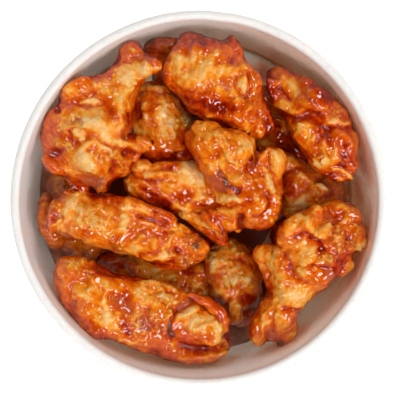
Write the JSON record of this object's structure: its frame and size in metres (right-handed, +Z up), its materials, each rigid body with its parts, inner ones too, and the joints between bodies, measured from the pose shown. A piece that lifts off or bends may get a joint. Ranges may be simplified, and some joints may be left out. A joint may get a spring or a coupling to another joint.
{
  "type": "bowl of chicken wings",
  "caption": "Heap of glazed chicken drumettes and flats in a round white paper bowl with a rolled rim and a recessed base.",
  "frame": {"origin": "middle of the bowl's foot, on the surface that the bowl stands on", "axes": "+Z up along the bowl's axis, +X to the right and +Y to the back as the heap is seen from the front"},
  "size_m": [0.165, 0.165, 0.066],
  "materials": {
    "coated_board": "satin",
    "glazed_chicken": "gloss"
  },
  "bodies": {
    "root": {"bowl_wall": "coated_board", "bowl_base": "coated_board", "flat_under_front_left": "glazed_chicken", "drumette_under_left": "glazed_chicken", "drumette_under_back": "glazed_chicken", "flat_under_back_right": "glazed_chicken", "flat_under_right": "glazed_chicken", "drumette_front": "glazed_chicken", "flat_right": "glazed_chicken", "drumette_inner_back": "glazed_chicken", "flat_centre_left": "glazed_chicken", "flat_left": "glazed_chicken", "flat_front_left": "glazed_chicken", "drumette_back_right": "glazed_chicken", "flat_back": "glazed_chicken", "drumette_centre": "glazed_chicken", "drumette_front_right": "glazed_chicken", "drumette_back_left": "glazed_chicken"}
  },
  "joints": []
}
